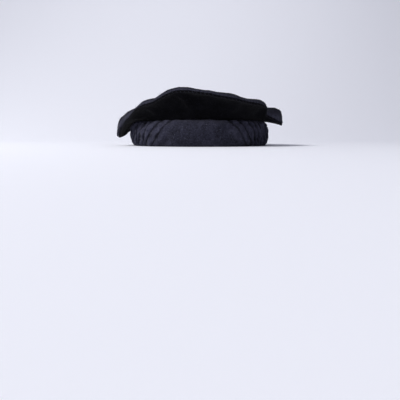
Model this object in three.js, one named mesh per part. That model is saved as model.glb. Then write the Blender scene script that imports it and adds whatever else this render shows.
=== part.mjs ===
// A pakol: a soft round wool hat. A flat crown sits on a thick band, which is the hat's own side rolled up.
// It stands on the band as it would on a table. Millimetres, +Z up, and the front of the hat faces -Y.
import * as THREE from "three";

// The head that goes in
const HEAD_WIDTH = 160;
const HEAD_LENGTH = 200;
const HEAD_SQUARENESS = 2.4; // 2 is an ellipse, and more has a flatter forehead

// The cloth
const CLOTH = 2.2; // one layer of felted wool
const GAP = 0.3; // between pieces that lie on each other

// The rolled band
const BAND_WIDTH = 25; // across the roll
const BAND_HEIGHT = 37;
const BAND_SQUARENESS = 2.3;
const BAND_PRESSED = 2; // how much of the roll's height is pressed flat where it rests
const BAND_STEPS = 16; // points round the roll's section
const PLAIN_STEP = 5; // degrees of heading between sections where the roll is smooth
const GATHER_STEPS = 4; // sections to each gather
const GATHER_FACING = 20; // degrees over level that the gathers face
const GATHER_WRAP = 0.35; // how much of them goes round to the top and the underside of the roll

// The crown's top panel
const CROWN_HEIGHT = 54; // inside the crown, round the middle of the head
const CROWN_SAG = 3; // how far the middle of the panel sinks
const HALF_WAY_SAG = 0.75; // as a share of that, half-way to the middle: a round bowl's
const RIM_STEPS = 4; // columns of faces to each row of RIM
const EDGE_STEPS = 3; // rows of faces round the edge of the panel
const RUN_STEPS = 4; // rows of faces from there to crown height

// The crown's side
const HANGING_SEAM = 27; // a rim seam no higher than this hangs down outside the roll
const LIFTED_SEAM = 57; // and one as high as this stands clear of the roll
const HANGING_BEND = { out: 1, up: 4 }; // from the roll's outside and top, where hanging cloth bends over it
const LIFTED_BEND = { out: 3, down: 7 }; // from the roll's top line and the seam, where lifted cloth bends up
const SIDE_STEPS = 5; // rows of faces from the rim seam to the roll
const WALL_STEPS = 6; // points of the roll's section that the inside wall follows, down from its top

// Bunches of gathers in the roll, by heading: 0 is the right as seen from the front, and 270 is the front.
const GATHERS = [
  { side: "left", from: 172, to: 236, folds: 8, depth: 3.4 },
  { side: "right", from: 304, to: 370, folds: 8, depth: 3.2 },
];

// The rim of the crown, anticlockwise from above. Each row is one bend or fold of the edge: where its seam
// is, how far the edge of the top panel stands over the seam and rounds in from it, and the run in which the
// panel then comes to crown height.
const RIM = [
  { spot: "right_back", across: 111, forward: -32, up: 42, edge: 10.5, round: 9, run: 45 },
  { spot: "back_right", across: 90, forward: -84, up: 46, edge: 8, round: 10, run: 45 },
  { spot: "back_fold", across: 48, forward: -119, up: 44, edge: 7, round: 10, run: 40 },
  { spot: "back", across: 0, forward: -131, up: 41, edge: 8, round: 10, run: 36 },
  { spot: "back_left", across: -48, forward: -121, up: 42, edge: 8, round: 10, run: 36 },
  { spot: "left_back", across: -90, forward: -86, up: 37, edge: 11, round: 10, run: 30 },
  { spot: "left_side", across: -114, forward: -44, up: 28, edge: 17, round: 9, run: 26 },
  { spot: "left_hem", across: -120, forward: -8, up: 20, edge: 20, round: 9, run: 24 },
  { spot: "left_tip", across: -127, forward: 20, up: 14, edge: 20, round: 9, run: 24 },
  { spot: "left_lift", across: -122, forward: 42, up: 23, edge: 17, round: 9, run: 26 },
  { spot: "left_fold", across: -113, forward: 62, up: 33, edge: 12, round: 9, run: 28 },
  { spot: "left_dent", across: -103, forward: 79, up: 40, edge: 8.5, round: 9, run: 32 },
  { spot: "left_front", across: -93, forward: 96, up: 48.5, edge: 5, round: 9, run: 38 },
  { spot: "front_bump", across: -79, forward: 109, up: 57, edge: 3.5, round: 9, run: 46 },
  { spot: "front_dip", across: -64, forward: 118, up: 60.5, edge: 2.5, round: 9, run: 54 },
  { spot: "peak_rise", across: -49, forward: 127, up: 68.5, edge: 2.5, round: 9, run: 62 },
  { spot: "peak", across: -26, forward: 134, up: 75, edge: 2.5, round: 9, run: 70 },
  { spot: "front", across: 5, forward: 136, up: 72, edge: 2, round: 9, run: 70 },
  { spot: "front_right", across: 40, forward: 131, up: 66, edge: 2, round: 9, run: 64 },
  { spot: "right_front", across: 72, forward: 112, up: 60.5, edge: 2.5, round: 9, run: 56 },
  { spot: "right_corner", across: 93, forward: 93, up: 57, edge: 4, round: 8, run: 48 },
  { spot: "pleat", across: 97, forward: 75, up: 47, edge: 4.5, round: 7, run: 40 },
  { spot: "flap_front", across: 113, forward: 64, up: 38.5, edge: 15, round: 4, run: 40 },
  { spot: "flap_corner", across: 123, forward: 46, up: 33.5, edge: 14, round: 3, run: 40 },
  { spot: "flap_back", across: 118, forward: 8, up: 38, edge: 11, round: 6, run: 45 },
];

const { cos, sin, abs, sign, hypot } = Math;
const { degToRad, radToDeg, lerp, clamp, smoothstep } = THREE.MathUtils;

const wool = new THREE.MeshStandardMaterial({ color: 0x1b1b20, roughness: 0.95, metalness: 0 });

// How far the inside of the hat is from its middle at a heading, as an oval.
function headReach(heading) {
  const across = abs(cos(degToRad(heading)) / (HEAD_WIDTH / 2)) ** HEAD_SQUARENESS;
  const along = abs(sin(degToRad(heading)) / (HEAD_LENGTH / 2)) ** HEAD_SQUARENESS;
  return (across + along) ** (-1 / HEAD_SQUARENESS);
}

// A point from its heading, its distance from the hat's middle line and its height.
function place(heading, reach, up) {
  const turn = degToRad(heading);
  return new THREE.Vector3(reach * cos(turn), reach * sin(turn), up);
}

// How far the gathers stand in from the plain roll at a heading: round folds with tight creases between them.
function gatherAt(heading) {
  for (const { from, to, folds, depth } of GATHERS) {
    const along = ((((heading - from) % 360) + 360) % 360) / (to - from);
    if (along < 1) return depth * sin(Math.PI * along) ** 0.5 * (abs(sin(Math.PI * folds * along)) - 1);
  }
  return 0;
}

// A point of the roll's section at a heading. Turn is 0 on its outside, 90 on its top, 180 against the head.
function bandPoint(heading, turn, proud = 0) {
  const power = 2 / BAND_SQUARENESS;
  const out = cos(degToRad(turn));
  const rise = sin(degToRad(turn));
  const halfHeight = (BAND_HEIGHT + BAND_PRESSED) / 2;
  const middle = headReach(heading) + CLOTH + GAP + BAND_WIDTH / 2;
  const reach = middle + (BAND_WIDTH / 2 + proud) * sign(out) * abs(out) ** power;
  const up = BAND_HEIGHT - halfHeight + (halfHeight + proud) * sign(rise) * abs(rise) ** power;
  return { reach, up: Math.max(up, 0) };
}

// The headings of the roll's sections: close together in the gathers and wider apart elsewhere.
function bandHeadings() {
  const headings = [];
  GATHERS.forEach(({ from, to, folds }, i) => {
    const next = i + 1 < GATHERS.length ? GATHERS[i + 1].from : GATHERS[0].from + 360;
    const gathered = folds * GATHER_STEPS;
    for (let k = 0; k < gathered; k++) headings.push(lerp(from, to, k / gathered));
    const plain = Math.round((next - to) / PLAIN_STEP);
    for (let k = 0; k < plain; k++) headings.push(lerp(to, next, k / plain));
  });
  return headings;
}

// A closed solid lofted through rings of points: a disc if it has a pole at each end, and otherwise a ring.
function loft(rings, poles = null) {
  const count = rings[0].length;
  const points = rings.flat().concat(poles ?? []);
  const faces = [];
  const last = poles ? rings.length - 1 : rings.length;
  for (let row = 0; row < last; row++) {
    const below = row * count;
    const above = ((row + 1) % rings.length) * count;
    for (let i = 0; i < count; i++) {
      const next = (i + 1) % count;
      faces.push(below + i, below + next, above + next, below + i, above + next, above + i);
    }
  }
  if (poles) {
    const first = rings.length * count;
    const top = (rings.length - 1) * count;
    for (let i = 0; i < count; i++) {
      const next = (i + 1) % count;
      faces.push(first, next, i, first + 1, top + i, top + next);
    }
  }
  const geometry = new THREE.BufferGeometry().setFromPoints(points);
  geometry.setIndex(faces);
  geometry.computeVertexNormals();
  return geometry;
}

// The same rings moved off their surface by a cloth's thickness, to the left of the way they run.
function thicken(rings, thickness) {
  const count = rings[0].length;
  return rings.map((ring, row) =>
    ring.map((point, i) => {
      const before = rings[Math.max(row - 1, 0)][i];
      const after = rings[Math.min(row + 1, rings.length - 1)][i];
      const round = ring[(i + 1) % count].clone().sub(ring[(i + count - 1) % count]);
      const onward = after.clone().sub(before);
      return round.cross(onward).setLength(thickness).add(point);
    }),
  );
}

// The rim's columns: heading, reach and height of the seam, with the form of the top panel there.
function rimColumns() {
  const seam = new THREE.CatmullRomCurve3(
    RIM.map(({ across, forward, up }) => new THREE.Vector3(across, -forward, up)),
    true,
  );
  const form = new THREE.CatmullRomCurve3(
    RIM.map(({ edge, round, run }) => new THREE.Vector3(edge, round, run)),
    true,
  );
  const count = RIM.length * RIM_STEPS;
  return Array.from({ length: count }, (_, i) => {
    const at = seam.getPoint(i / count);
    const { x: edge, y: round, z: run } = form.getPoint(i / count);
    const heading = radToDeg(Math.atan2(at.y, at.x));
    return { heading, reach: hypot(at.x, at.y), up: at.z, edge, round, run };
  });
}

// The rolled band: the lower part of the hat's side, wound up into a ring and gathered at both sides.
function rolledBand() {
  const headings = bandHeadings();
  const rings = [];
  for (let k = 0; k < BAND_STEPS; k++) {
    const turn = (360 * k) / BAND_STEPS;
    const shown = clamp(cos(degToRad(turn - GATHER_FACING)) + GATHER_WRAP, 0, 1);
    rings.push(
      headings.map((heading) => {
        const { reach, up } = bandPoint(heading, turn, gatherAt(heading) * shown);
        return place(heading, reach, up);
      }),
    );
  }
  return loft(rings);
}

// The crown's side: from the rim seam in under the crown, over the roll and down inside it.
function crownSide(columns) {
  const profiles = columns.map(({ heading, reach, up }) => {
    const lifted = smoothstep(up, HANGING_SEAM, LIFTED_SEAM);
    const outside = bandPoint(heading, 0).reach;
    const crest = bandPoint(heading, 90, GAP);
    const bend = new THREE.Vector2(
      lerp(outside + HANGING_BEND.out, crest.reach + LIFTED_BEND.out, lifted),
      lerp(BAND_HEIGHT + HANGING_BEND.up, up - LIFTED_BEND.down, lifted),
    );
    const corner = new THREE.Vector2(reach - CLOTH, up); // of the top panel's edge, which the side is sewn to
    const toBend = new THREE.Vector2(bend.x - corner.x, Math.max(bend.y - corner.y, 0));
    const onward = toBend.clone().normalize();
    const clear = new THREE.Vector2(-onward.y, onward.x).multiplyScalar(CLOTH + GAP);
    const seam = corner.add(clear).addScaledVector(onward, CLOTH * onward.x);
    const under = new THREE.QuadraticBezierCurve(
      seam,
      seam.clone().add(toBend),
      new THREE.Vector2(crest.reach, crest.up),
    );
    const path = under.getPoints(SIDE_STEPS).map(({ x, y }) => ({ reach: x, up: y }));
    for (let k = 1; k <= WALL_STEPS; k++) path.push(bandPoint(heading, 90 + (360 * k) / BAND_STEPS, GAP));
    return path.map((p) => place(heading, p.reach, p.up));
  });
  const outer = profiles[0].map((_, row) => profiles.map((profile) => profile[row]));
  const inner = thicken(outer, CLOTH);
  return loft(inner.concat(outer.reverse()));
}

// The crown's top panel: it turns up from the rim seam, rounds the edge and runs level across the hat.
function crownTop(columns) {
  const profiles = columns.map(({ heading, reach, up, edge, round, run }) => {
    const path = [];
    const seam = { reach: reach - CLOTH, up: up + GAP / 2 };
    for (let k = 0; k <= EDGE_STEPS; k++) {
      const turn = (Math.PI / 2) * (k / EDGE_STEPS);
      path.push(place(heading, seam.reach - round * (1 - cos(turn)), seam.up + edge * sin(turn)));
    }
    const level = { reach: seam.reach - round, up: seam.up + edge };
    for (let k = 1; k <= RUN_STEPS; k++) {
      const along = k / RUN_STEPS;
      path.push(place(heading, level.reach - run * along, lerp(level.up, CROWN_HEIGHT, along * (2 - along))));
    }
    const halfWay = { reach: (level.reach - run) / 2, up: CROWN_HEIGHT - CROWN_SAG * HALF_WAY_SAG };
    path.push(place(heading, halfWay.reach, halfWay.up));
    return path;
  });
  const inner = profiles[0].map((_, row) => profiles.map((profile) => profile[row]));
  const outer = thicken(inner, CLOTH);
  const middle = CROWN_HEIGHT - CROWN_SAG;
  return loft(inner.reverse().concat(outer), [place(0, 0, middle), place(0, 0, middle + CLOTH)]);
}

function piece(name, geometry) {
  const mesh = new THREE.Mesh(geometry, wool);
  mesh.name = name;
  return mesh;
}

const rim = rimColumns();
const pakol = new THREE.Group();
pakol.name = "pakol";
pakol.add(piece("rolled_band", rolledBand()));
pakol.add(piece("crown_side", crownSide(rim)));
pakol.add(piece("crown_top", crownTop(rim)));

// The origin is under the middle of the hat's outline.
const box = new THREE.Box3().setFromObject(pakol);
const middle = box.getCenter(new THREE.Vector3());
pakol.children.forEach((mesh) => mesh.position.set(-middle.x, -middle.y, 0));

export default pakol;
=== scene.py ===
# A pakol stood on its rolled band: a round wool crown that droops over a thick ring of the same cloth.
import functools
import math
import random

import bmesh
import bpy
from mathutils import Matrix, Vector, noise


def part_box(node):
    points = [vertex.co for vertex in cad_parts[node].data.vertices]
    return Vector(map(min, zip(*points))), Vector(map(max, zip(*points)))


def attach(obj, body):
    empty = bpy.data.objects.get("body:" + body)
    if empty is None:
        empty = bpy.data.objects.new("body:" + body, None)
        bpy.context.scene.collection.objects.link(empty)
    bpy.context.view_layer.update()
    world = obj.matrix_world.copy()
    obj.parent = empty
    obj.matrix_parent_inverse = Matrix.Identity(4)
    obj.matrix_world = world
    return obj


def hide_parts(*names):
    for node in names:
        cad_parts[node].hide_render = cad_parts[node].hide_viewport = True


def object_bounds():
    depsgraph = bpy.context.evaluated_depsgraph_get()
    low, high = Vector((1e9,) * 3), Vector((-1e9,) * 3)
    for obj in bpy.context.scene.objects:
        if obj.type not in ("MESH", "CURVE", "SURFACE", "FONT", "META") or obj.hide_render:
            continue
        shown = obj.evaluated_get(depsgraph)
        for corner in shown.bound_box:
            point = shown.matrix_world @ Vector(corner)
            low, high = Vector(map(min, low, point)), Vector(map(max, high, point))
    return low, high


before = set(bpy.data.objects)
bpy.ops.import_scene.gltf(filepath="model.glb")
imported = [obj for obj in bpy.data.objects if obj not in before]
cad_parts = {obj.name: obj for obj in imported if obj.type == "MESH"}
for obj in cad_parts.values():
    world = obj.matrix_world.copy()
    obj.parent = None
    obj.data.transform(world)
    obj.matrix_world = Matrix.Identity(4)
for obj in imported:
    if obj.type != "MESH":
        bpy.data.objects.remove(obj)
cad_low, cad_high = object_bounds()


# Paper sweep
# The hat stands on a length of pale paper that lies level under it and curves up behind it.
# The paper is uncoated and matt, so it takes a soft shadow and has no shine.
SWEEP_WIDTH = 16.0  # metres, as every size is unless its comment says otherwise
SWEEP_FRONT = 8.0
SWEEP_BACK = 2.7
SWEEP_HEIGHT = 3.5
SWEEP_CURVE = 2.3
SWEEP_FACETS = 32  # across the curve
PAPER_COLOUR = "#f4f5fc"
PAPER_FIBRE = 1.5  # millimetres
PAPER_TOOTH = 0.0002


def linear(colour):
    """An sRGB hex colour as the linear values that a shader takes."""
    shares = [int(colour[i:i + 2], 16) / 255 for i in (1, 3, 5)]
    return [s / 12.92 if s <= 0.04045 else ((s + 0.055) / 1.055) ** 2.4 for s in shares] + [1.0]


def add_node(tree, kind, settings=None, links=None):
    """A node with its own settings and socket values, and what is linked to its sockets."""
    node = tree.nodes.new(kind)
    for name, value in (settings or {}).items():
        if isinstance(name, str) and hasattr(node, name):
            setattr(node, name, value)
        else:
            node.inputs[name].default_value = value
    for name, socket in (links or {}).items():
        tree.links.new(socket, node.inputs[name])
    return node


def per_mm(size):
    """The texture scale, on Object coordinates in metres, whose features are this many millimetres across."""
    return 1000 / size


def new_material(name):
    """A material with an empty node tree, and that tree with its Object coordinates."""
    material = bpy.data.materials.new(name)
    material.use_nodes = True
    material.node_tree.nodes.clear()
    coordinates = add_node(material.node_tree, "ShaderNodeTexCoord").outputs["Object"]
    return material, material.node_tree, coordinates


def add_piece(name, shape, material):
    """A smooth-shaded object made from a bmesh, at the origin."""
    mesh = bpy.data.meshes.new(name)
    shape.to_mesh(mesh)
    shape.free()
    mesh.materials.append(material)
    mesh.shade_smooth()
    piece = bpy.data.objects.new(name, mesh)
    bpy.context.collection.objects.link(piece)
    return piece


def uncoated_paper():
    """Uncoated paper: matt and even, with a faint tooth."""
    material, tree, coordinates = new_material("uncoated_paper")
    tooth = add_node(tree, "ShaderNodeTexNoise", {"Scale": per_mm(PAPER_FIBRE)}, {"Vector": coordinates})
    bump = add_node(
        tree, "ShaderNodeBump", {"Strength": 0.05, "Distance": PAPER_TOOTH}, {"Height": tooth.outputs["Fac"]})
    shader = add_node(
        tree,
        "ShaderNodeBsdfPrincipled",
        {"Base Color": linear(PAPER_COLOUR), "Roughness": 0.95, "Specular IOR Level": 0.2},
        {"Normal": bump.outputs["Normal"]},
    )
    add_node(tree, "ShaderNodeOutputMaterial", links={"Surface": shader.outputs["BSDF"]})
    return material


sweep = bmesh.new()
corners = ((-SWEEP_FRONT, 0), (SWEEP_BACK, 0), (SWEEP_BACK, SWEEP_HEIGHT))
profile = [sweep.verts.new((-SWEEP_WIDTH / 2, y, z)) for y, z in corners]
lines = [sweep.edges.new(pair) for pair in zip(profile, profile[1:])]
drawn = bmesh.ops.extrude_edge_only(sweep, edges=lines)["geom"]
moved = [part for part in drawn if isinstance(part, bmesh.types.BMVert)]
bmesh.ops.translate(sweep, verts=moved, vec=(SWEEP_WIDTH, 0, 0))
fold = [edge for edge in sweep.edges if len(edge.link_faces) == 2]
bmesh.ops.bevel(
    sweep, geom=fold, offset=SWEEP_CURVE, affect="EDGES", segments=SWEEP_FACETS, profile=0.5, material=-1)
bmesh.ops.recalc_face_normals(sweep, faces=sweep.faces)
add_piece("paper_sweep", sweep, uncoated_paper())


# Camera and light
# The view is from the front, as low as the floor lets it be, so that the crown's underside shows.
# A large soft light stands high at the left front, a weak one at the right, and one faces the paper behind.
VIEW_DISTANCE = 0.85
VIEW_HEIGHT = 0.016
VIEW_LENS = 48.2
VIEW_ASIDE = 0.0026  # how far the camera stands to the right of the hat's middle
HAT_OVER_MIDDLE = 0.127  # how far the middle of the hat is over the middle of the picture
WORLD_COLOUR = "#dfe1f4"
WORLD_STRENGTH = 0.26

hat_middle = (cad_low + cad_high) / 2
camera = bpy.data.objects.new("camera", bpy.data.cameras.new("camera"))
camera.data.lens = VIEW_LENS
camera.data.clip_start = VIEW_HEIGHT / 2
camera.location = (hat_middle.x + VIEW_ASIDE, hat_middle.y - VIEW_DISTANCE, VIEW_HEIGHT)
aim = hat_middle + Vector((VIEW_ASIDE, 0, -HAT_OVER_MIDDLE))
camera.rotation_euler = (aim - camera.location).to_track_quat("-Z", "Y").to_euler()
bpy.context.collection.objects.link(camera)
bpy.context.scene.camera = camera
bpy.context.scene.view_settings.view_transform = "Standard"

world = bpy.data.worlds.new("studio")
world.use_nodes = True
world.node_tree.nodes["Background"].inputs["Color"].default_value = linear(WORLD_COLOUR)
world.node_tree.nodes["Background"].inputs["Strength"].default_value = WORLD_STRENGTH
bpy.context.scene.world = world


def add_softbox(name, spot, target, size, power):
    """A square soft light that faces its target."""
    light = bpy.data.objects.new(name, bpy.data.lights.new(name, "AREA"))
    light.data.size = size
    light.data.energy = power
    light.location = spot
    light.rotation_euler = (Vector(target) - Vector(spot)).to_track_quat("-Z", "Y").to_euler()
    bpy.context.collection.objects.link(light)


add_softbox("key_softbox", spot=(-1.5, -0.85, 1.6), target=hat_middle, size=0.7, power=48)
add_softbox("fill_softbox", spot=(1.6, -1.2, 1.0), target=hat_middle, size=1.2, power=2)
add_softbox("backdrop_softbox", spot=(0.0, 0.9, 2.2), target=(0.0, SWEEP_BACK, 0.9), size=1.6, power=13)


# Rolled band
# The lower part of the hat's side, wound up on itself into a firm ring that grips the head.
# It is thick felted wool, plain in front and gathered into folds at both sides.
# The hat rests on it, so its underside is pressed flat.
MM = 0.001
CLOTH = 2.2 * MM
GAP = 0.3 * MM
HEAD_SQUARENESS = 2.4  # 2 makes an ellipse, and more a squarer oval
BAND_WIDTH = 25 * MM
BAND_PRESSED = 2 * MM  # how much of the roll the floor flattens
BAND_SQUARENESS = 2.3
BAND_POINTS = 40
BAND_COLUMNS = 560
MERGED = 0.01 * MM  # how near two vertices are that a seam or pole makes one
GATHER_FACING = math.radians(20)  # the turn of the roll at which the gathers are strongest
GATHER_WRAP = 0.35  # how far round the roll from there they go
FOLD_PROUD = 0.35  # how far a fold stands out, as a share of its creases' depth
CREASE_SHARPNESS = 2.8
CREASE_PATCH = 20 * MM  # the length over which a crease grows deeper or shallower
CREASE_MEAN = 0.85  # its mean depth, as a share of the table's
CREASE_SPREAD = 0.7  # how far it goes from that mean
GATHERED_DEPTH = 2 * MM  # the depth of crease from which the cloth counts as gathered in full
CREASE_HELD = 0.75  # how near to a crease the cloth is held while it settles
PRESSED_ABOVE = 0.45  # below this cosine of the turn the crown and the head press the roll
PRESSED_BELOW = -0.75  # below this sine of the turn the floor does
ROLL_SLACK = 0.5 * MM  # how much slimmer than the plain roll its lumps leave it
ROLL_LUMPS = (
    dict(across=30 * MM, height=1.6 * MM),
    dict(across=10 * MM, height=0.7 * MM),
    dict(across=3.5 * MM, height=0.35 * MM),
)
SETTLING = dict(frames=20, quality=4, bending=0.05, pressure=20, growth=0.12, most=4 * MM)
PLAIN_WEAR = 0.5  # the colour level goes from 0, darkest, where a crease is painted dark as painted shade, to 1, where the nap is rubbed off, which at the rims is also a painted highlight
FOLD_WEAR = 0.12  # more than that on a fold
CREASE_PAINTED_SHADE = 0.3  # painted shade: how much lower than a fold's the colour level of a crease is painted
NAP_HEIGHT = 0.9 * MM

# What the wool's patterns measure, in millimetres. A wool fibre is some 0.03 mm thick, too fine to show,
# so the fibres drawn are the small tufts that it curls into.
WOOL_PATTERNS = dict(clouds=16, clumps=3, fibres=0.9, specks=2.4)
# The first colour is painted shade, for the roll's creases.
ROLL_COLOURS = dict(painted_crease_shade="#040405", dark="#1b1b23", pale="#3a3a49", rubbed_and_highlit="#5b5b6c", lint="#7c7c8c")

# Each row is one crease of the gathers: its heading (0 is the right as seen from the front, 270 is the
# front), how far it leans between the roll's middle and its top, in degrees, and its depth in
# millimetres. Between two creases the cloth stands out in a round fold, and a row with no depth is an end
# of the gathers.
CREASES = (
    dict(heading=156, lean=0, depth=0),
    dict(heading=165, lean=1, depth=2.2),
    dict(heading=172, lean=2, depth=3.6),
    dict(heading=178, lean=-1, depth=4.8),
    dict(heading=183.5, lean=2, depth=3.8),
    dict(heading=189.5, lean=-1, depth=5.8),
    dict(heading=194, lean=3, depth=4.0),
    dict(heading=200, lean=0, depth=6.0),
    dict(heading=204.5, lean=3, depth=4.0),
    dict(heading=210, lean=1, depth=5.8),
    dict(heading=214, lean=4, depth=3.8),
    dict(heading=219.5, lean=3, depth=5.8),
    dict(heading=224, lean=6, depth=4.2),
    dict(heading=230, lean=5, depth=5.4),
    dict(heading=236, lean=8, depth=3.4),
    dict(heading=243, lean=8, depth=1.8),
    dict(heading=252, lean=9, depth=0),
    dict(heading=289, lean=-8, depth=0),
    dict(heading=297, lean=-7, depth=1.8),
    dict(heading=303.5, lean=-6, depth=4.2),
    dict(heading=309.5, lean=-4, depth=5.4),
    dict(heading=314.5, lean=-4, depth=4.0),
    dict(heading=320, lean=-2, depth=5.8),
    dict(heading=324.5, lean=-4, depth=3.8),
    dict(heading=330, lean=-1, depth=5.8),
    dict(heading=334.5, lean=-3, depth=4.0),
    dict(heading=340.5, lean=0, depth=6.0),
    dict(heading=345, lean=-2, depth=3.8),
    dict(heading=351, lean=1, depth=5.4),
    dict(heading=356, lean=-1, depth=3.8),
    dict(heading=362.5, lean=1, depth=4.8),
    dict(heading=369, lean=-1, depth=3.2),
    dict(heading=376, lean=1, depth=1.8),
    dict(heading=386, lean=0, depth=0),
)

band_low, band_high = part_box("rolled_band")
band_middle = (band_low + band_high) / 2
band_height = band_high.z
band_inside = BAND_WIDTH + CLOTH + GAP
head_width = (band_high.x - band_low.x) / 2 - band_inside
head_length = (band_high.y - band_low.y) / 2 - band_inside


def head_reach(heading):
    """How far the inside of the hat is from its middle line, as an oval."""
    across = abs(math.cos(heading) / head_width) ** HEAD_SQUARENESS
    along = abs(math.sin(heading) / head_length) ** HEAD_SQUARENESS
    return (across + along) ** (-1 / HEAD_SQUARENESS)


def place(heading, reach, up):
    """A point from its heading, its distance from the hat's middle line and its height."""
    return Vector((band_middle.x + reach * math.cos(heading), band_middle.y + reach * math.sin(heading), up))


def band_point(heading, turn, proud=0.0):
    """Reach and height of the roll's surface, which stands this proud of the plain roll. The turn is 0 on its
    outside, a quarter on its top and a half at the head."""
    power = 2 / BAND_SQUARENESS
    out, rise = math.cos(turn), math.sin(turn)
    half_height = (band_height + BAND_PRESSED) / 2
    middle = head_reach(heading) + CLOTH + GAP + BAND_WIDTH / 2
    reach = middle + math.copysign((BAND_WIDTH / 2 + proud) * abs(out) ** power, out)
    up = band_height - half_height + math.copysign((half_height + proud) * abs(rise) ** power, rise)
    return reach, max(up, 0.0)


@functools.cache
def gathers_at(spot):
    """The gathers at a heading of the roll's middle: the depth and lean of the creases there, and how near it
    is to one, from 0 on top of a fold to 1 in a crease."""
    degrees = math.degrees(spot)
    if degrees < CREASES[-1]["heading"] - 360:
        degrees += 360
    for start, end in zip(CREASES, CREASES[1:]):
        if start["heading"] <= degrees < end["heading"]:
            along = (degrees - start["heading"]) / (end["heading"] - start["heading"])
            depth = mix(start["depth"], end["depth"], along) * MM
            lean = math.radians(mix(start["lean"], end["lean"], along))
            return depth, lean, abs(2 * along - 1)
    return 0.0, 0.0, 0.0


def gathered_point(spot, turn):
    """A point of the roll, with its gathers: round folds that stand out, and creases between them."""
    depth, lean, aside = gathers_at(spot)
    heading = spot + lean * math.sin(turn)
    plain = place(heading, *band_point(heading, turn))
    lump = min(lumps_at(plain, ROLL_LUMPS) - ROLL_SLACK, 0)
    crease = -aside ** CREASE_SHARPNESS * (CREASE_MEAN + CREASE_SPREAD * noise.noise(plain / CREASE_PATCH))
    fold = FOLD_PROUD * (1 - aside ** 2) * max(math.cos(turn), 0) ** 2
    proud = lump + depth * (crease + fold) * gathers_shown(turn)
    return place(heading, *band_point(heading, turn, proud))


def gathers_shown(turn):
    """How much of the gathers there is at a turn of the roll: all on its outside, none against the head."""
    return min(max(math.cos(turn - GATHER_FACING) + GATHER_WRAP, 0), 1)


def mix(start, end, share):
    """The value that is this share of the way from start to end."""
    return start + (end - start) * share


def round_turn(share):
    """A share of the way round as an angle, where the end of the way is its start."""
    return share % 1 * 2 * math.pi


def soften(piece):
    """One round of subdivision, which rounds the folds."""
    rounding = piece.modifiers.new("rounding", "SUBSURF")
    rounding.levels = 1
    rounding.render_levels = 1


def settle(piece, held, calm):
    """Runs Cloth on the piece and keeps the shape that it comes to, within the most that a point may move.
    Held and calm tell, for each vertex, how firmly it is kept in place and how little it grows."""
    for name, shares in (("held", held), ("calm", calm)):
        group = piece.vertex_groups.new(name=name)
        for index, share in enumerate(shares):
            group.add([index], share, "REPLACE")
    cloth = piece.modifiers.new("settling", "CLOTH")
    cloth.settings.quality = SETTLING["quality"]
    cloth.settings.vertex_group_mass = "held"
    cloth.settings.vertex_group_shrink = "calm"
    cloth.settings.shrink_min = -SETTLING["growth"]
    cloth.settings.use_pressure = True
    cloth.settings.uniform_pressure_force = SETTLING["pressure"]
    cloth.settings.effector_weights.gravity = 0
    cloth.settings.bending_stiffness = SETTLING["bending"]
    cloth.collision_settings.use_collision = False
    for number in range(1, SETTLING["frames"] + 1):
        bpy.context.scene.frame_set(number)
    settled = piece.evaluated_get(bpy.context.evaluated_depsgraph_get()).data
    for vert, moved in zip(piece.data.vertices, settled.vertices):
        step = moved.co - vert.co
        if step.length > SETTLING["most"]:
            step *= SETTLING["most"] / step.length
        vert.co += step
    piece.modifiers.remove(cloth)
    piece.vertex_groups.clear()
    bpy.context.scene.frame_set(1)


def lumps_at(point, lumps):
    """How uneven felted wool is at a point: soft lumps, and finer ones on them."""
    return sum(lump["height"] * noise.noise(point / lump["across"]) for lump in lumps)


def grid(columns, rows):
    """A bmesh grid whose vertices keep their column and row, as shares from 0 to 1, in two layers."""
    sheet = bmesh.new()
    bmesh.ops.create_grid(sheet, x_segments=columns, y_segments=rows, size=1)
    column = sheet.verts.layers.float.new("column")
    row = sheet.verts.layers.float.new("row")
    for vert in sheet.verts:
        vert[column] = round((vert.co.x + 1) / 2 * columns) / columns
        vert[row] = round((vert.co.y + 1) / 2 * rows) / rows
    return sheet, column, row


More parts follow.
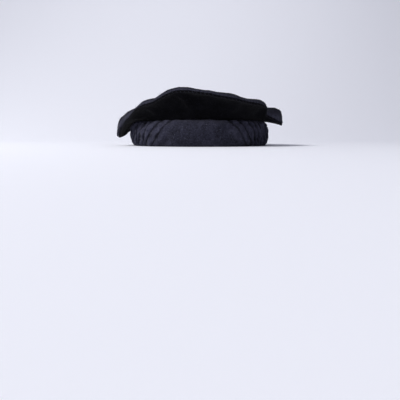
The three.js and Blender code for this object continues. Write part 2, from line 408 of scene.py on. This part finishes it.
def felted_wool(name, painted_crease_shade, dark, pale, rubbed_and_highlit, lint):
    """Felted wool, milled until its weave is lost: matt, with cloudy patches where the nap lies over, short
    curled fibres and specks of paler lint. Its colour is painted darkest in its hollows, as painted shade,
    and palest where the nap is rubbed off, which at the rims is also a painted highlight."""
    scales = {name: per_mm(size) for name, size in WOOL_PATTERNS.items()}
    material, tree, coordinates = new_material(name)
    clouds = add_node(
        tree, "ShaderNodeTexNoise", {"Scale": scales["clouds"], "Detail": 3.0, "Roughness": 0.6},
        {"Vector": coordinates})
    clumps = add_node(
        tree, "ShaderNodeTexNoise",
        {"Scale": scales["clumps"], "Detail": 4.0, "Roughness": 0.7, "Distortion": 1.2},
        {"Vector": coordinates})
    fibres = add_node(
        tree, "ShaderNodeTexNoise", {"Scale": scales["fibres"], "Detail": 2.0, "Distortion": 3.0},
        {"Vector": coordinates})
    specks = add_node(
        tree, "ShaderNodeTexNoise", {"Scale": scales["specks"], "Detail": 1.0, "Distortion": 2.5},
        {"Vector": coordinates})
    mottle = add_node(
        tree, "ShaderNodeMix", {"data_type": "FLOAT", "Factor": 0.65},
        {2: clouds.outputs["Fac"], 3: clumps.outputs["Fac"]})
    # This level picks the colour: rubbed nap makes it paler, creases carry painted shade and rims a painted
    # highlight.
    wear_and_painted_light = add_node(tree, "ShaderNodeAttribute", {"attribute_name": "wear_and_painted_light"})
    level = add_node(
        tree, "ShaderNodeMix", {"data_type": "FLOAT", "Factor": 0.5},
        {2: mottle.outputs[0], 3: wear_and_painted_light.outputs["Fac"]})
    shade = add_node(tree, "ShaderNodeValToRGB", links={"Fac": level.outputs[0]})
    ramp = shade.color_ramp.elements
    # The darkest colour is painted shade, reached in the creases.
    ramp[0].position, ramp[0].color = 0.26, linear(painted_crease_shade)
    # The palest colour is rubbed nap, and at the rims also a painted highlight.
    ramp[1].position, ramp[1].color = 0.82, linear(rubbed_and_highlit)
    ramp.new(0.44).color = linear(dark)
    ramp.new(0.58).color = linear(pale)
    caught = add_node(
        tree, "ShaderNodeMapRange", {"From Min": 0.68, "From Max": 0.76, "To Max": 0.5},
        {"Value": specks.outputs["Fac"]})
    colour = add_node(
        tree, "ShaderNodeMix", {"data_type": "RGBA", 7: linear(lint)},
        {"Factor": caught.outputs["Result"], 6: shade.outputs["Color"]})
    nap = add_node(
        tree, "ShaderNodeMix", {"data_type": "FLOAT", "Factor": 0.4},
        {2: clumps.outputs["Fac"], 3: fibres.outputs["Fac"]})
    bump = add_node(
        tree, "ShaderNodeBump", {"Strength": 0.8, "Distance": NAP_HEIGHT}, {"Height": nap.outputs[0]})
    shader = add_node(
        tree,
        "ShaderNodeBsdfPrincipled",
        {"Roughness": 0.95, "Specular IOR Level": 0.06, "Sheen Weight": 0.03, "Sheen Roughness": 0.5},
        {"Base Color": colour.outputs[2], "Normal": bump.outputs["Normal"]},
    )
    add_node(tree, "ShaderNodeOutputMaterial", links={"Surface": shader.outputs["BSDF"]})
    return material


def dress(piece, node):
    """The piece stands for a solid of the frame: it hangs from the root, and the solid is hidden."""
    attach(piece, "root")
    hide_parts(node)


roll, column, row = grid(BAND_COLUMNS, BAND_POINTS)
for vert in roll.verts:
    vert.co = gathered_point(round_turn(vert[column]), round_turn(vert[row]))
bmesh.ops.remove_doubles(roll, verts=roll.verts, dist=MERGED)
bmesh.ops.recalc_face_normals(roll, faces=roll.faces)
wear_and_painted_light = roll.verts.layers.float.new("wear_and_painted_light")
held = []
calm = []
for vert in roll.verts:
    turn = round_turn(vert[row])
    depth, _, aside = gathers_at(round_turn(vert[column]))
    gathered = min(depth * gathers_shown(turn) / GATHERED_DEPTH, 1)
    pressed = math.cos(turn) < PRESSED_ABOVE or math.sin(turn) < PRESSED_BELOW
    held.append(1.0 if pressed or gathered * aside > CREASE_HELD else 0.0)
    calm.append(1 - gathered)
    # Folds are paler where their nap is rubbed; creases are painted darker, as painted shade.
    vert[wear_and_painted_light] = PLAIN_WEAR + gathered * (FOLD_WEAR - CREASE_PAINTED_SHADE * aside ** 3)
rolled_band = add_piece("rolled_band_wool", roll, felted_wool("felted_wool_roll", **ROLL_COLOURS))
settle(rolled_band, held, calm)
soften(rolled_band)
dress(rolled_band, "rolled_band")


# Crown side
# The upper part of the hat's side, one layer of the same felted wool, its colours painted much darker than
# the roll's as painted shade under the crown.
# It is sewn to the top at the rim, turns in under the crown, goes over the roll and runs down inside it,
# where it lines the head opening.
SHEET_COLUMNS = 640
UNDER_ROWS = 24
WALL_ROWS = 16
WORN_AND_HIGHLIT_ROWS = 3  # how many rows in from the rim the colour is paler: rubbed nap and a painted highlight
WALL_END = math.radians(225)  # the turn of the roll at which the cloth inside it ends
SEAM_GAP = 0.7 * MM
SLOPE_STEP = math.radians(0.5)  # how far to each side the rim's slope is read
HANGING_SEAM = 27 * MM  # a rim below this height hangs outside the roll
LIFTED_SEAM = 57 * MM  # and one above this height stands clear of it
HANGING_BEND = dict(out=1 * MM, up=4 * MM)  # from the roll's outside and its top
LIFTED_BEND = dict(out=3 * MM, down=7 * MM)  # from the roll's crest and the rim
EDGE_ROUNDING = dict(width=0.8 * MM, steps=3, from_angle=math.radians(55))
# The side's rim is painted paler: partly rubbed nap, partly a painted highlight where the rim catches light.
SIDE_RIM_WEAR_AND_HIGHLIGHT = 0.1
FOLDS_START = 0.06  # where the side's folds begin, as a share of the way from the rim to the roll
FOLDS_EASE = 0.4  # where they are full, as a share of the way from either end
# Painted shade: the side is the same wool as the roll, painted much darker for the shade under the crown; its
# rubbed colour is also a painted highlight at the rim.
SIDE_PAINTED_SHADE_COLOURS = dict(painted_crease_shade="#020202", dark="#050507", pale="#0e0e12", rubbed_and_highlit="#464653", lint="#2c2c34")
CROWN_LUMPS = (
    dict(across=34 * MM, height=1.8 * MM),
    dict(across=11 * MM, height=0.7 * MM),
    dict(across=4 * MM, height=0.25 * MM),
)
PUCKERS = dict(across=13 * MM, height=0.9 * MM)  # along the rim, where the seam draws the cloth up
OTHER_NOISE = Vector((0, 0, 9))  # a step to a part of the noise that is unlike the first

# The rim of the crown, anticlockwise from above, in millimetres. Each row is one bend or fold of the
# edge: where its seam is, how far the edge of the top stands over the seam and rounds in, and the run to
# the crown's own height.
RIM = (
    dict(spot="right_back", across=111, forward=-32, up=42, edge=10.5, round=9, run=45),
    dict(spot="back_right", across=90, forward=-84, up=46, edge=8, round=10, run=45),
    dict(spot="back_fold", across=48, forward=-119, up=44, edge=7, round=10, run=40),
    dict(spot="back", across=0, forward=-131, up=41, edge=8, round=10, run=36),
    dict(spot="back_left", across=-48, forward=-121, up=42, edge=8, round=10, run=36),
    dict(spot="left_back", across=-90, forward=-86, up=37, edge=11, round=10, run=30),
    dict(spot="left_side", across=-114, forward=-44, up=28, edge=17, round=9, run=26),
    dict(spot="left_hem", across=-120, forward=-8, up=20, edge=20, round=9, run=24),
    dict(spot="left_tip", across=-127, forward=20, up=14, edge=20, round=9, run=24),
    dict(spot="left_lift", across=-122, forward=42, up=23, edge=17, round=9, run=26),
    dict(spot="left_fold", across=-113, forward=62, up=33, edge=12, round=9, run=28),
    dict(spot="left_dent", across=-103, forward=79, up=40, edge=8.5, round=9, run=32),
    dict(spot="left_front", across=-93, forward=96, up=48.5, edge=5, round=9, run=38),
    dict(spot="front_bump", across=-79, forward=109, up=57, edge=3.5, round=9, run=46),
    dict(spot="front_dip", across=-64, forward=118, up=60.5, edge=2.5, round=9, run=54),
    dict(spot="peak_rise", across=-49, forward=127, up=68.5, edge=2.5, round=9, run=62),
    dict(spot="peak", across=-26, forward=134, up=75, edge=2.5, round=9, run=70),
    dict(spot="front", across=5, forward=136, up=72, edge=2, round=9, run=70),
    dict(spot="front_right", across=40, forward=131, up=66, edge=2, round=9, run=64),
    dict(spot="right_front", across=72, forward=112, up=60.5, edge=2.5, round=9, run=56),
    dict(spot="right_corner", across=93, forward=93, up=57, edge=4, round=8, run=48),
    dict(spot="pleat", across=97, forward=75, up=47, edge=4.5, round=7, run=40),
    dict(spot="flap_front", across=113, forward=64, up=38.5, edge=15, round=4, run=40),
    dict(spot="flap_corner", across=123, forward=46, up=33.5, edge=14, round=3, run=40),
    dict(spot="flap_back", across=118, forward=8, up=38, edge=11, round=6, run=45),
)

# Each row is one fold in the crown's side: its heading at the rim and how far it leans on its way in to the
# roll, in degrees, its height in millimetres and its width in degrees.
SIDE_FOLDS = (
    dict(heading=205, lean=4, height=2.4, width=5),
    dict(heading=219, lean=5, height=2.6, width=5),
    dict(heading=233, lean=6, height=2.0, width=6),
    dict(heading=257, lean=9, height=5.0, width=6),
    dict(heading=276, lean=-4, height=1.4, width=8),
    dict(heading=296, lean=-6, height=1.8, width=7),
    dict(heading=331, lean=-4, height=2.0, width=6),
    dict(heading=8, lean=3, height=1.6, width=7),
    dict(heading=42, lean=-3, height=1.4, width=8),
    dict(heading=75, lean=4, height=1.8, width=7),
    dict(heading=108, lean=-4, height=1.5, width=8),
    dict(heading=140, lean=5, height=1.8, width=7),
    dict(heading=171, lean=-3, height=1.6, width=6),
)

rim_rows = [
    dict(
        heading=math.atan2(-row["forward"], row["across"]) % (2 * math.pi),
        reach=math.hypot(row["across"], row["forward"]) * MM,
        **{name: row[name] * MM for name in ("up", "edge", "round", "run")},
    )
    for row in RIM
]


@functools.cache
def rim_at(heading):
    """The rim at a heading, on a smooth curve through its rows."""
    count = len(rim_rows)
    last = max((k for k in range(count) if rim_rows[k]["heading"] <= heading), default=-1)
    near = range(last - 1, last + 3)
    rows = [rim_rows[k % count] for k in near]
    turns = [k // count for k in near]
    spots = [row["heading"] + 2 * math.pi * turn for row, turn in zip(rows, turns)]
    span = spots[2] - spots[1]
    along = (heading - spots[1]) / span
    values = {}
    for name in ("reach", "up", "edge", "round", "run"):
        before, here, there, after = (row[name] for row in rows)
        leave = (there - before) / (spots[2] - spots[0]) * span
        arrive = (after - here) / (spots[3] - spots[1]) * span
        bend = (2 * (here - there) + leave + arrive) * along ** 3
        bow = (3 * (there - here) - 2 * leave - arrive) * along ** 2
        values[name] = bend + bow + leave * along + here
    rim_place = place(heading, values["reach"], 0) / PUCKERS["across"]
    values["up"] += PUCKERS["height"] * noise.noise(rim_place)
    values["reach"] += PUCKERS["height"] * noise.noise(rim_place + OTHER_NOISE)
    return values


def smooth_share(value, low, high):
    """0 below low, 1 above high, and eased between."""
    share = min(max((value - low) / (high - low), 0), 1)
    return share * share * (3 - 2 * share)


def draped_sheet(rows, path, folds, rubbed_and_highlit, faces_out):
    """A sheet that follows its path at each heading, with its folds raised from it, closed round the hat.
    Its rim is painted paler than plain cloth by the amount given: part rubbed nap, part painted highlight."""
    sheet, column, row = grid(SHEET_COLUMNS, rows)
    for vert in sheet.verts:
        heading = round_turn(vert[column])
        vert.co = place(heading, *path(heading)[round(vert[row] * rows)])
    bmesh.ops.remove_doubles(sheet, verts=sheet.verts, dist=MERGED)
    face_out(sheet, faces_out)
    wear_and_painted_light = sheet.verts.layers.float.new("wear_and_painted_light")
    heights = [folds(round_turn(vert[column]), vert[row], vert.co) for vert in sheet.verts]
    for vert, height in zip(sheet.verts, heights):
        vert.co += vert.normal * height
        # The rim's paler colour: rubbed nap and a painted highlight.
        vert[wear_and_painted_light] = PLAIN_WEAR + rubbed_and_highlit * math.exp(-(vert[row] * rows / WORN_AND_HIGHLIT_ROWS) ** 2)
    return sheet


def face_out(sheet, faces_out):
    """Turns the whole sheet so that its first face, at the rim, points as it should."""
    bmesh.ops.recalc_face_normals(sheet, faces=sheet.faces)
    sheet.faces.ensure_lookup_table()
    sheet.normal_update()
    if not faces_out(sheet.faces[0]):
        bmesh.ops.reverse_faces(sheet, faces=sheet.faces)
        sheet.normal_update()


def lifted_at(heading):
    """How much the rim stands clear of the roll: 0 where it hangs down outside it."""
    return smooth_share(rim_at(heading)["up"], HANGING_SEAM, LIFTED_SEAM)


def rim_slope(heading):
    """How steeply the rim climbs as it goes round: 0 where it is level, 1 where it rises at 45 degrees."""
    rise = rim_at(heading + SLOPE_STEP)["up"] - rim_at(heading - SLOPE_STEP)["up"]
    return rise / (2 * SLOPE_STEP * rim_at(heading)["reach"])


@functools.cache
def side_path(heading):
    """Reach and height of the crown's side, from the rim seam to the foot of the wall inside the roll."""
    rim = rim_at(heading)
    lifted = lifted_at(heading)
    outside = band_point(heading, 0)[0]
    crest = band_point(heading, math.pi / 2, GAP)
    bend = Vector((
        mix(outside + HANGING_BEND["out"], crest[0] + LIFTED_BEND["out"], lifted),
        mix(band_height + HANGING_BEND["up"], rim["up"] - LIFTED_BEND["down"], lifted),
    ))
    corner = Vector((rim["reach"] - CLOTH, rim["up"]))  # of the top panel's edge, which the side is sewn to
    to_bend = Vector((bend.x - corner.x, max(bend.y - corner.y, 0)))
    onward = to_bend.normalized()
    wall = CLOTH * math.hypot(1, rim_slope(heading))
    clear = Vector((-onward.y, onward.x)) * (wall + SEAM_GAP)
    seam = corner + clear + onward * CLOTH * onward.x
    path = []
    for row in range(UNDER_ROWS + 1):
        t = row / UNDER_ROWS
        path.append(seam * (1 - t) ** 2 + (seam + to_bend) * 2 * t * (1 - t) + Vector(crest) * t * t)
    for row in range(1, WALL_ROWS + 1):
        path.append(band_point(heading, mix(math.pi / 2, WALL_END, row / WALL_ROWS), GAP))
    return path


def thicken(piece):
    """One layer of cloth behind the sheet, with its edges rounded."""
    wall = piece.modifiers.new("cloth", "SOLIDIFY")
    wall.thickness = CLOTH
    wall.offset = -1
    edges = piece.modifiers.new("worn_edges", "BEVEL")
    edges.width = EDGE_ROUNDING["width"]
    edges.segments = EDGE_ROUNDING["steps"]
    edges.limit_method = "ANGLE"
    edges.angle_limit = EDGE_ROUNDING["from_angle"]


def side_folds(heading, row, point):
    """How high the crown's side stands in its folds: most half way from the rim to the roll, and not where it
    hangs against the roll."""
    share = row * (UNDER_ROWS + WALL_ROWS) / UNDER_ROWS
    if share > 1:
        return 0.0
    height = lumps_at(point, CROWN_LUMPS)
    for fold in SIDE_FOLDS:
        away = (math.degrees(heading) - fold["heading"] - fold["lean"] * share + 180) % 360 - 180
        height += fold["height"] * MM * math.exp(-(2 * away / fold["width"]) ** 2)
    ease = smooth_share(share, FOLDS_START, FOLDS_EASE) * smooth_share(1 - share, 0, FOLDS_EASE)
    return height * ease * lifted_at(heading)


side = draped_sheet(
    UNDER_ROWS + WALL_ROWS, side_path, side_folds, SIDE_RIM_WEAR_AND_HIGHLIGHT, faces_out=lambda face: face.normal.z < 0)
crown_side = add_piece("crown_side_wool", side, felted_wool("felted_wool_side_painted_shade", **SIDE_PAINTED_SHADE_COLOURS))
thicken(crown_side)
dress(crown_side, "crown_side")


# Crown top
# The round top of the hat. Its edge turns down to the seam at the rim and shows as a narrow band all round.
# It is one layer of felted wool, sewn to the side, and it sinks a little in the middle. Its colours are
# painted somewhat darker than the roll's, as painted shade.
CROWN_HEIGHT = 54 * MM
CROWN_SAG = 3 * MM
EDGE_ROWS = 10
RUN_ROWS = 18
MIDDLE_ROWS = 12
TOP_ROWS = EDGE_ROWS + RUN_ROWS + MIDDLE_ROWS
TOP_MERGED = 0.3 * MM  # wide enough to make one of the vertices that crowd at the middle
# The top's rim is painted paler: partly rubbed nap, partly a painted highlight on the band that the edge
# shows.
TOP_RIM_WEAR_AND_HIGHLIGHT = 0.4
# Painted shade: the top is the same wool as the roll, painted somewhat darker.
TOP_PAINTED_SHADE_COLOURS = dict(painted_crease_shade="#070709", dark="#14141a", pale="#2b2b35", rubbed_and_highlit="#4c4c5a", lint="#60606e")

# Each row is one soft fold in the top, which runs in from the rim: its heading and width in degrees and its
# height in millimetres.
TOP_FOLDS = (
    dict(heading=196, width=10, height=2.8),
    dict(heading=208, width=8, height=-2.2),
    dict(heading=217, width=8, height=2.2),
    dict(heading=227, width=7, height=-1.8),
    dict(heading=236, width=9, height=2.4),
    dict(heading=250, width=10, height=1.6),
    dict(heading=290, width=14, height=1.6),
    dict(heading=318, width=7, height=-2.2),
    dict(heading=350, width=12, height=2.2),
    dict(heading=30, width=16, height=-2.2),
    dict(heading=80, width=14, height=2.4),
    dict(heading=120, width=16, height=-2.2),
    dict(heading=160, width=12, height=2.6),
)


@functools.cache
def top_path(heading):
    """Reach and height of the top's upper face, from the rim seam to the middle of the hat."""
    rim = rim_at(heading)
    path = []
    for row in range(EDGE_ROWS + 1):
        turn = math.pi / 2 * row / EDGE_ROWS
        path.append((
            rim["reach"] - rim["round"] * (1 - math.cos(turn)),
            rim["up"] + GAP / 2 + (rim["edge"] + CLOTH) * math.sin(turn)))
    level = path[-1]
    crown = CROWN_HEIGHT + CLOTH
    for row in range(1, RUN_ROWS + 1):
        t = row / RUN_ROWS
        path.append((level[0] - rim["run"] * t, mix(level[1], crown, t * (2 - t))))
    flat = path[-1][0]
    for row in range(1, MIDDLE_ROWS + 1):
        t = row / MIDDLE_ROWS
        path.append((flat * (1 - t), crown - CROWN_SAG * (1 - (1 - t) ** 2)))
    return path


def top_folds(heading, row, point):
    """How high the top stands in its folds: they rise from the rim and die out towards the middle."""
    height = lumps_at(point, CROWN_LUMPS)
    for fold in TOP_FOLDS:
        away = (math.degrees(heading) - fold["heading"] + 180) % 360 - 180
        height += fold["height"] * MM * math.exp(-(2 * away / fold["width"]) ** 2) * (1 - row)
    return height * min(row * TOP_ROWS / EDGE_ROWS, 1)


top = draped_sheet(TOP_ROWS, top_path, top_folds, TOP_RIM_WEAR_AND_HIGHLIGHT, faces_out=lambda face: face.normal.x > 0)
bmesh.ops.remove_doubles(top, verts=top.verts, dist=TOP_MERGED)
crown_top = add_piece("crown_top_wool", top, felted_wool("felted_wool_top_painted_shade", **TOP_PAINTED_SHADE_COLOURS))
thicken(crown_top)
dress(crown_top, "crown_top")


# Rim stitches
# The top and the side are sewn to each other by hand, over their edges, with black wool thread.
# Each stitch goes from the face of the top over the rim to the underside.
STITCH_EVERY = 4  # columns of the sheets, which is about 5 mm
STITCH_BITE = 2.4 * MM
STITCH_SLANT = 2  # columns
THREAD_RADIUS = 0.32 * MM
THREAD_LIFT = 0.8 * THREAD_RADIUS  # from the edges that it goes over
THREAD_WEAR = 0.62


def columns_of(piece):
    """The vertices of a sheet in columns from the rim inwards."""
    column = piece.data.attributes["column"].data
    row = piece.data.attributes["row"].data
    columns = [[] for _ in range(SHEET_COLUMNS)]
    for vert in piece.data.vertices:
        number = round(column[vert.index].value * SHEET_COLUMNS) % SHEET_COLUMNS
        columns[number].append((row[vert.index].value, vert))
    return [[vert for _, vert in sorted(line, key=lambda pair: pair[0])] for line in columns]


def bite(line):
    """Where a stitch goes into a sheet: as far in from its rim as the needle bites, just under the face."""
    for vert in line:
        if (vert.co - line[0].co).length >= STITCH_BITE:
            break
    return vert.co - vert.normal * THREAD_RADIUS


def strands(name, paths, radius, material, wear_and_painted_light):
    """Thin round strands along smooth paths, joined into one piece, all at the same colour level."""
    curve = bpy.data.curves.new(name, "CURVE")
    curve.dimensions = "3D"
    curve.bevel_depth = radius
    curve.bevel_resolution = 0
    for points in paths:
        spline = curve.splines.new("POLY")
        spline.points.add(len(points) - 1)
        for knot, point in zip(spline.points, points):
            knot.co = (*point, 1)
    holder = bpy.data.objects.new(name, curve)
    bpy.context.collection.objects.link(holder)
    mesh = bpy.data.meshes.new_from_object(holder.evaluated_get(bpy.context.evaluated_depsgraph_get()))
    bpy.data.objects.remove(holder)
    bpy.data.curves.remove(curve)
    shares = mesh.attributes.new("wear_and_painted_light", "FLOAT", "POINT")
    shares.data.foreach_set("value", [wear_and_painted_light] * len(mesh.vertices))
    shape = bmesh.new()
    shape.from_mesh(mesh)
    bpy.data.meshes.remove(mesh)
    bmesh.ops.recalc_face_normals(shape, faces=shape.faces)
    return add_piece(name, shape, material)


top_columns = columns_of(crown_top)
side_columns = columns_of(crown_side)
stitches = []
for start in range(0, SHEET_COLUMNS, STITCH_EVERY):
    upper = top_columns[start]
    lower = side_columns[(start + STITCH_SLANT) % SHEET_COLUMNS]
    face = upper[1].co + upper[1].normal * THREAD_RADIUS
    over = upper[0].co + upper[0].normal * THREAD_LIFT
    under = lower[0].co + (lower[0].normal + upper[0].normal) * THREAD_LIFT
    stitches.append([bite(upper), face, over, under, bite(lower)])
rim_stitches = strands("rim_stitches", stitches, THREAD_RADIUS, crown_top.data.materials[0], THREAD_WEAR)
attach(rim_stitches, "root")


# Loose fibres
# Wool sheds a fuzz of short fibres, which stand out from the roll and the rim and are paler than the cloth.
FIBRES = 4200
FIBRE_LENGTHS = (1.0 * MM, 3.8 * MM)
FIBRE_RADIUS = 0.05 * MM
FIBRE_JOINTS = 4
FIBRE_LIFT = 0.7  # how much it follows the face's own direction, next to a way by chance
FIBRE_CURL = 0.5
FIBRE_WEAR = 0.75
RIM_FACING = 0.8  # a face of the top that points up less than this is near the rim
FIBRE_SEED = 7

chance = random.Random(FIBRE_SEED)


def loose_fibre(face):
    """A fibre that starts in a face and curls away from it."""
    length = chance.uniform(*FIBRE_LENGTHS)
    wander = [Vector([chance.uniform(-1, 1) for _ in range(3)]) for _ in range(2)]
    way = (face.normal * FIBRE_LIFT + wander[0]).normalized()
    points = [face.center - face.normal * FIBRE_RADIUS]
    for _ in range(FIBRE_JOINTS - 1):
        points.append(points[-1] + way * length / (FIBRE_JOINTS - 1))
        way = (way + wander[1] * FIBRE_CURL).normalized()
        points[-1].z = max(points[-1].z, FIBRE_RADIUS)
    return points


shown = [face for face in rolled_band.data.polygons if face.normal.dot(face.center - band_middle) > 0]
shown += [face for face in crown_top.data.polygons if face.normal.z < RIM_FACING]
fuzz = [loose_fibre(chance.choice(shown)) for _ in range(FIBRES)]
loose_fibres = strands("loose_fibres", fuzz, FIBRE_RADIUS, rolled_band.data.materials[0], FIBRE_WEAR)
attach(loose_fibres, "root")
